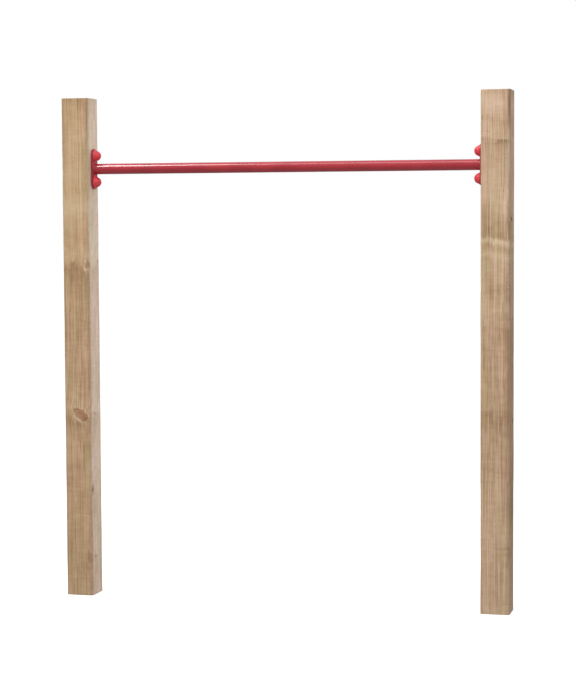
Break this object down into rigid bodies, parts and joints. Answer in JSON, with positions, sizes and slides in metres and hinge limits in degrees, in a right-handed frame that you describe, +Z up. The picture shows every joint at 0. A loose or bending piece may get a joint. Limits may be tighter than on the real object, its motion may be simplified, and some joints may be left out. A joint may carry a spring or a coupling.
{
  "type": "pull up bar",
  "caption": "Garden pull up bar: a red powder-coated steel bar with welded end plates, screwed between square timber posts, with domed caps over the screws.",
  "frame": {"origin": "on the ground, midway between the two posts and at the middle of their depth", "axes": "+X along the bar from the left post to the right post, +Y from front to back, +Z up"},
  "size_m": [1.442, 0.09, 1.6],
  "materials": {
    "timber": "planed, pressure-treated softwood with knots, dry and unpainted",
    "coated_steel": "red powder coat, semi-gloss, with a fine orange-peel texture",
    "zinc_steel": "bright zinc plating",
    "cap_plastic": "moulded red polyamide, satin gloss"
  },
  "bodies": {
    "frame": {"left_post": "timber", "right_post": "timber", "grip_tube": "coated_steel", "left_plate": "coated_steel", "right_plate": "coated_steel", "left_weld": "coated_steel", "right_weld": "coated_steel", "left_upper_screw": "zinc_steel", "left_lower_screw": "zinc_steel", "right_upper_screw": "zinc_steel", "right_lower_screw": "zinc_steel", "left_upper_washer": "zinc_steel", "left_lower_washer": "zinc_steel", "right_upper_washer": "zinc_steel", "right_lower_washer": "zinc_steel", "left_upper_cap_base": "cap_plastic", "left_lower_cap_base": "cap_plastic", "right_upper_cap_base": "cap_plastic", "right_lower_cap_base": "cap_plastic"},
    "left_upper_cap_body": {"left_upper_cap": "cap_plastic"},
    "left_lower_cap_body": {"left_lower_cap": "cap_plastic"},
    "right_upper_cap_body": {"right_upper_cap": "cap_plastic"},
    "right_lower_cap_body": {"right_lower_cap": "cap_plastic"}
  },
  "joints": [
    {"name": "left_upper_cap_pull", "type": "slide", "parent": "frame", "child": "left_upper_cap_body", "axis": [1, 0, 0], "range_m": [0, 0.04]},
    {"name": "left_lower_cap_pull", "type": "slide", "parent": "frame", "child": "left_lower_cap_body", "axis": [1, 0, 0], "range_m": [0, 0.04]},
    {"name": "right_upper_cap_pull", "type": "slide", "parent": "frame", "child": "right_upper_cap_body", "axis": [-1, 0, 0], "range_m": [0, 0.04]},
    {"name": "right_lower_cap_pull", "type": "slide", "parent": "frame", "child": "right_lower_cap_body", "axis": [-1, 0, 0], "range_m": [0, 0.04]}
  ]
}
